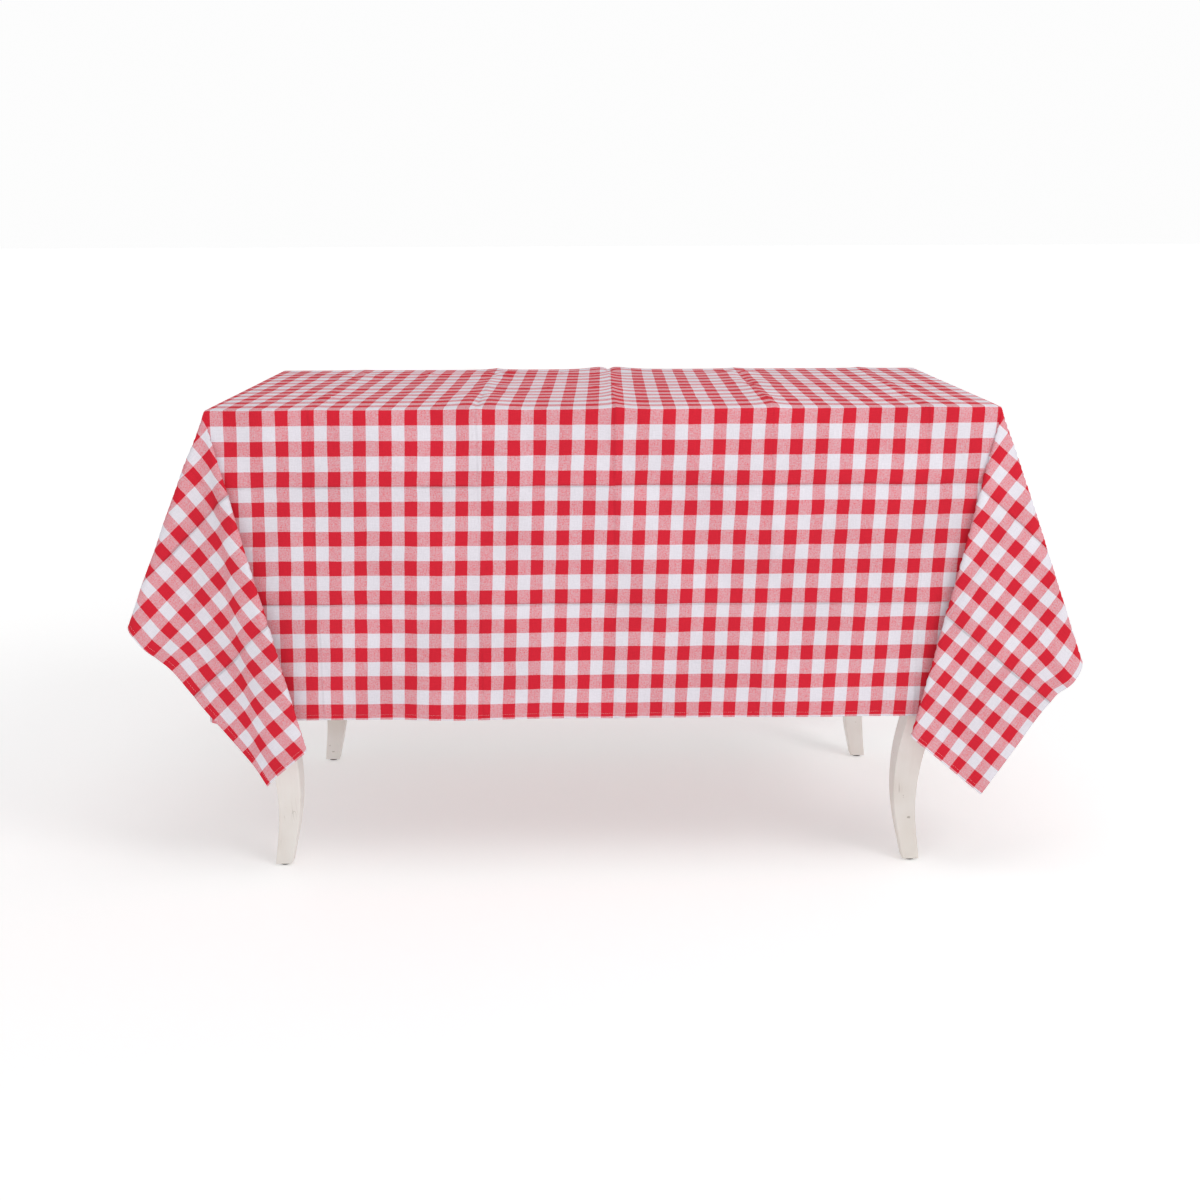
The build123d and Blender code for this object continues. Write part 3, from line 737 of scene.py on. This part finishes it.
def thread(name):
    """White polyester thread, twisted."""
    m = Nodes(name, Roughness=0.6, Specular_IOR_Level=0.4, Sheen_Weight=0.2)
    where = m.node("TexCoord").outputs["Object"]
    twist = m.node("TexWave", {"Vector": where, "Scale": 900.0, "Distortion": 2.0},
                   wave_type="BANDS", bands_direction="DIAGONAL").outputs["Fac"]
    m.colour(m.mix(twist, linear(236, 230, 232), linear(208, 198, 202)))
    m.rough(m.ramp(twist, 0, 1, 0.5, 0.7))
    m.bump(twist, 0.3, 0.00008)
    return m.material


cloth_look = gingham("red_gingham")
hem_look = gingham("red_gingham_hem", on_hem=True)
top_look = painted("aged_white_top", linear(232, 228, 221), linear(221, 214, 203))
leg_look = painted("aged_white_legs", linear(233, 229, 224), linear(222, 214, 206))
beech_look = beech("bare_beech_wood")
steel_look = steel("zinc_plated_steel")
plastic_look = plastic("nylon_glide")
thread_look = thread("white_thread")


def wear(piece, look):
    """Gives a piece one material in all its slots."""
    if not piece.data.materials:
        piece.data.materials.append(look)
    for slot in piece.material_slots:
        slot.material = look


for node_name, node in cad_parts.items():
    if node_name == "tabletop" or node_name.endswith("_apron"):
        wear(node, top_look)
    elif node_name.endswith("_leg"):
        wear(node, leg_look)
    elif node_name.endswith("_brace"):
        wear(node, beech_look)
    elif node_name.endswith("_glide"):
        wear(node, plastic_look)
    elif node_name.startswith(("hanger_", "brace_screws", "top_brackets", "bracket_screws")):
        wear(node, steel_look)

wear(cloth, cloth_look)
for band in hems.values():
    wear(band, hem_look)
wear(stitching, thread_look)

# ---------------------------------------------------------------- what each piece is
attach(cloth, "tablecloth")
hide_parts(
    "cloth_top", "cloth_front_drop", "cloth_back_drop", "cloth_left_drop",
    "cloth_right_drop", "cloth_front_left_fold", "cloth_front_right_fold",
    "cloth_back_left_fold", "cloth_back_right_fold",
)
for side, band in hems.items():
    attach(band, "tablecloth")
    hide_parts(f"{side}_hem")
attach(stitching, "tablecloth")
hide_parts("hem_thread")

# ---------------------------------------------------------------- floor, light and camera
FLOOR = 60.0  # half its side
FLOOR_GLOW_FROM, FLOOR_GLOW_TO = 0.6, 3.4  # distances from the middle of the table
FLOOR_GLOW_NEAR, FLOOR_GLOW_FAR = 0.28, 0.50
WALLS, CEILING = 0.98, 0.42  # how bright the studio is
WALLS_END, CEILING_BEGINS = 0.25, 0.75  # as the upward part of a unit direction

floor_mesh = bpy.data.meshes.new("floor")
floor_corners = [(x * FLOOR, y * FLOOR, 0) for x, y in ((-1, -1), (1, -1), (1, 1), (-1, 1))]
floor_mesh.from_pydata(floor_corners, [], [(0, 1, 2, 3)])
floor = bpy.data.objects.new("floor", floor_mesh)
bpy.context.scene.collection.objects.link(floor)
floor_look = Nodes("pale_floor", Roughness=0.9, Specular_IOR_Level=0.1)
floor_look.shader.inputs["Base Color"].default_value = (0.90, 0.90, 0.90, 1)
# away from the table the floor brightens into the studio's white walls
across_floor = floor_look.node("TexCoord").outputs["Object"]
from_table = floor_look.node("VectorMath", {0: across_floor}, operation="LENGTH").outputs["Value"]
glow = floor_look.ramp(
    from_table, FLOOR_GLOW_FROM, FLOOR_GLOW_TO, FLOOR_GLOW_NEAR, FLOOR_GLOW_FAR
)
floor_look.shader.inputs["Emission Color"].default_value = (1, 1, 1, 1)
floor_look.put(floor_look.shader.inputs["Emission Strength"], glow)
floor_mesh.materials.append(floor_look.material)

# a white studio: bright walls all round, and a dimmer ceiling so that folds and creases show
world = bpy.data.worlds.new("studio")
world.use_nodes = True
sky = world.node_tree.nodes["Background"]
sky.inputs["Color"].default_value = (1, 1, 1, 1)
direction = world.node_tree.nodes.new("ShaderNodeTexCoord")
parts = world.node_tree.nodes.new("ShaderNodeSeparateXYZ")
fade = world.node_tree.nodes.new("ShaderNodeMapRange")
fade.inputs["From Min"].default_value = WALLS_END
fade.inputs["From Max"].default_value = CEILING_BEGINS
fade.inputs["To Min"].default_value = WALLS
fade.inputs["To Max"].default_value = CEILING
world.node_tree.links.new(direction.outputs["Generated"], parts.inputs[0])
world.node_tree.links.new(parts.outputs["Z"], fade.inputs["Value"])
world.node_tree.links.new(fade.outputs["Result"], sky.inputs["Strength"])
bpy.context.scene.world = world
bpy.context.scene.view_settings.view_transform = "Standard"


def soft_light(name, place, aim, size, power):
    """A large square studio light."""
    data = bpy.data.lights.new(name, "AREA")
    data.size, data.energy = size, power
    lamp = bpy.data.objects.new(name, data)
    bpy.context.scene.collection.objects.link(lamp)
    lamp.location = place
    way = np.array(aim, float) - np.array(place, float)
    lamp.rotation_euler = Vector(way).to_track_quat("-Z", "Y").to_euler()


soft_light("key_light", (2.1, -1.9, 3.0), (0, 0, 0.5), 1.2, 27)
soft_light("top_light", (0.2, -0.9, 3.4), (0, 0, 0.6), 1.6, 20)

# the photograph's viewpoint, from a fit to the marks on it with the table's size held fixed
LENS, SENSOR = 43.09, 36.0
CAMERA_PLACE = (-0.0295, -2.3754, 0.9995)
CAMERA_DOWN, CAMERA_TURN, CAMERA_ROLL = 0.2574, -0.0109, -0.0038
camera_data = bpy.data.cameras.new("camera")
camera_data.lens, camera_data.sensor_width = LENS, SENSOR
camera = bpy.data.objects.new("camera", camera_data)
bpy.context.scene.collection.objects.link(camera)
camera.location = CAMERA_PLACE
aim = Euler((math.pi / 2 - CAMERA_DOWN, 0, CAMERA_TURN)).to_matrix()
aim = aim @ Matrix.Rotation(CAMERA_ROLL, 3, "Z")
camera.rotation_euler = aim.to_euler()
bpy.context.scene.camera = camera
